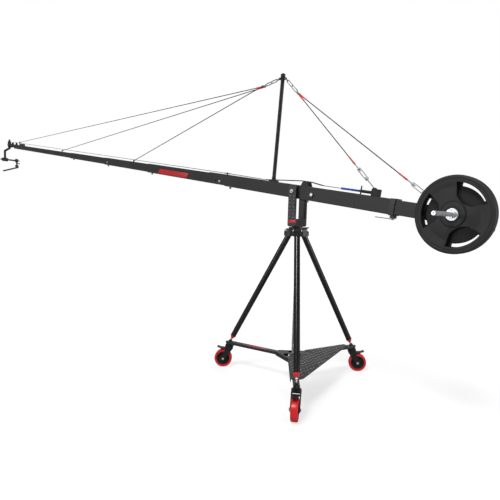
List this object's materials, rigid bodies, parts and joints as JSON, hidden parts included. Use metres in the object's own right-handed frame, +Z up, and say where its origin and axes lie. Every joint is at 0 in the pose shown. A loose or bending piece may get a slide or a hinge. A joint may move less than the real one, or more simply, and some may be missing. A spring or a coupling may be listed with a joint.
{
  "type": "camera jib crane",
  "caption": "Counterweighted telescopic camera crane boom with guyed mast, pivoting in a yoke on a three-legged stand with caster dolly base.",
  "frame": {"origin": "on the stand column axis, in the flat underside of the dolly hub, 162 mm above the floor", "axes": "+X along the boom towards its weight, +Z up, the camera head at -X"},
  "size_m": [6.7837, 1.0376, 2.1321],
  "materials": {
    "black_steel": "satin black powder coat",
    "tread_plate": "black coated diamond tread",
    "black_alloy": "satin black anodised",
    "bright_steel": "bright plated",
    "red_rubber": "red polyurethane, slightly glossy",
    "black_plastic": "matt",
    "fork_steel": "semi-gloss black",
    "boom_tube": "black powder coat",
    "coated_iron": "matt black rubber-like coat",
    "wire": "stranded wire and black fittings",
    "stay_cable": "black plastic jacket over wire, red sleeves at the ends"
  },
  "bodies": {
    "stand": {"dolly_hub": "black_steel", "foot_platform": "tread_plate", "crown": "black_alloy", "center_column": "bright_steel", "base_arm_front": "black_steel", "leg_stud_front": "bright_steel", "leg_cone_front": "red_rubber", "leg_tube_front": "black_alloy", "base_arm_right": "black_steel", "leg_stud_right": "bright_steel", "leg_cone_right": "red_rubber", "leg_tube_right": "black_alloy", "base_arm_left": "black_steel", "leg_stud_left": "bright_steel", "leg_cone_left": "red_rubber", "leg_tube_left": "black_alloy"},
    "caster_front": {"caster_fork_front": "fork_steel"},
    "wheel_front": {"wheel_tread_front": "red_rubber", "wheel_core_front": "black_plastic"},
    "pedal_front": {"brake_pedal_front": "black_plastic"},
    "caster_right": {"caster_fork_right": "fork_steel"},
    "wheel_right": {"wheel_tread_right": "red_rubber", "wheel_core_right": "black_plastic"},
    "pedal_right": {"brake_pedal_right": "black_plastic"},
    "caster_left": {"caster_fork_left": "fork_steel"},
    "wheel_left": {"wheel_tread_left": "red_rubber", "wheel_core_left": "black_plastic"},
    "pedal_left": {"brake_pedal_left": "black_plastic"},
    "pan_lock": {"pan_lock_lever": "black_plastic"},
    "yoke": {"yoke_base": "fork_steel", "yoke_arm_near": "black_alloy", "yoke_arm_far": "black_alloy", "pivot_bolt": "bright_steel"},
    "tilt_lock": {"tilt_lock_knob": "bright_steel"},
    "boom": {"main_boom": "boom_tube", "boom_section_2": "boom_tube", "boom_section_3": "boom_tube", "boom_section_4": "boom_tube", "boom_tip": "boom_tube", "tail_tube": "boom_tube", "tail_collar": "fork_steel", "weight_plate": "coated_iron", "weight_spindle": "bright_steel", "mast": "black_alloy", "front_rigging": "wire", "rear_rigging": "bright_steel", "front_stay_long": "stay_cable", "front_stay_middle": "stay_cable", "front_stay_short": "stay_cable", "rear_stay_upper": "stay_cable", "rear_stay_lower": "stay_cable", "level_cables": "wire", "cable_tensioner": "black_plastic"},
    "clamp": {"clamp_lever": "bright_steel"},
    "turnbuckle_upper": {"turnbuckle_upper": "bright_steel"},
    "turnbuckle_lower": {"turnbuckle_lower": "bright_steel"},
    "head": {"head_bracket": "black_alloy"},
    "head_arm": {"hanging_arm": "black_alloy"},
    "head_tilt_arm": {"tilt_arm": "black_alloy"},
    "camera_platform": {"camera_plate": "black_alloy"}
  },
  "joints": [
    {"name": "caster_swivel_front", "type": "hinge", "parent": "stand", "child": "caster_front", "pos_m": [0.33927, -0.38078, 0.003], "axis": [0, 0, 1], "continuous": true},
    {"name": "wheel_spin_front", "type": "hinge", "parent": "caster_front", "child": "wheel_front", "pos_m": [0.36196, -0.41613, -0.0995], "axis": [0.8415, 0.5402, 0], "continuous": true},
    {"name": "brake_press_front", "type": "hinge", "parent": "caster_front", "child": "pedal_front", "pos_m": [0.35223, -0.40098, -0.027], "axis": [0.8415, 0.5402, 0], "range_deg": [0, 9]},
    {"name": "caster_swivel_right", "type": "hinge", "parent": "stand", "child": "caster_right", "pos_m": [0.16014, 0.48421, 0.003], "axis": [0, 0, 1], "continuous": true},
    {"name": "wheel_spin_right", "type": "hinge", "parent": "caster_right", "child": "wheel_right", "pos_m": [0.19341, 0.50983, -0.0995], "axis": [-0.6101, 0.7923, 0], "continuous": true},
    {"name": "brake_press_right", "type": "hinge", "parent": "caster_right", "child": "pedal_right", "pos_m": [0.17915, 0.49885, -0.027], "axis": [-0.6101, 0.7923, 0], "range_deg": [0, 9]},
    {"name": "caster_swivel_left", "type": "hinge", "parent": "stand", "child": "caster_left", "pos_m": [-0.4994, -0.10342, 0.003], "axis": [0, 0, 1], "continuous": true},
    {"name": "wheel_spin_left", "type": "hinge", "parent": "caster_left", "child": "wheel_left", "pos_m": [-0.53062, -0.13153, -0.0995], "axis": [0.6691, -0.7431, 0], "continuous": true},
    {"name": "brake_press_left", "type": "hinge", "parent": "caster_left", "child": "pedal_left", "pos_m": [-0.51724, -0.11948, -0.027], "axis": [0.6691, -0.7431, 0], "range_deg": [0, 9]},
    {"name": "pan_lock_turn", "type": "hinge", "parent": "stand", "child": "pan_lock", "pos_m": [0.04529, 0.02615, 0.857], "axis": [0.866, 0.5, 0], "continuous": true},
    {"name": "yoke_pan", "type": "hinge", "parent": "stand", "child": "yoke", "pos_m": [0, 0, 0.8623], "axis": [0, 0, 1], "continuous": true},
    {"name": "tilt_lock_turn", "type": "hinge", "parent": "yoke", "child": "tilt_lock", "pos_m": [0.0303, 0.055, 1.03], "axis": [1, 0, 0], "continuous": true},
    {"name": "boom_tilt", "type": "hinge", "parent": "yoke", "child": "boom", "pos_m": [0, 0, 1.089], "axis": [0, 1, 0], "range_deg": [-17, 40]},
    {"name": "tail_clamp_swing", "type": "hinge", "parent": "boom", "child": "clamp", "pos_m": [0.65932, 0, 0.93456], "axis": [0.1409, 0, 0.99], "range_deg": [-90, 90]},
    {"name": "turnbuckle_upper_turn", "type": "hinge", "parent": "boom", "child": "turnbuckle_upper", "pos_m": [0.7924, 0.00049, 1.08943], "axis": [0.7975, -0.0037, -0.6033], "continuous": true},
    {"name": "turnbuckle_lower_turn", "type": "hinge", "parent": "boom", "child": "turnbuckle_lower", "pos_m": [0.4636, -0.0006, 1.17971], "axis": [0.6787, 0.0052, -0.7344], "continuous": true},
    {"name": "head_level", "type": "hinge", "parent": "boom", "child": "head", "pos_m": [-5.33128, 0, 1.84775], "axis": [0, 1, 0], "range_deg": [-40, 17]},
    {"name": "head_pan", "type": "hinge", "parent": "head", "child": "head_arm", "pos_m": [-5.55628, 0, 1.85775], "axis": [0, 0, 1], "continuous": true},
    {"name": "head_tilt", "type": "hinge", "parent": "head_arm", "child": "head_tilt_arm", "pos_m": [-5.55628, -0.062, 1.66775], "axis": [0, 1, 0], "range_deg": [-90, 90]},
    {"name": "camera_roll", "type": "hinge", "parent": "head_tilt_arm", "child": "camera_platform", "pos_m": [-5.55628, 0.094, 1.58975], "axis": [1, 0, 0], "range_deg": [-25, 60]}
  ],
  "couplings": [
    {"joint": "head_level", "follows": "boom_tilt", "ratio": -1}
  ]
}
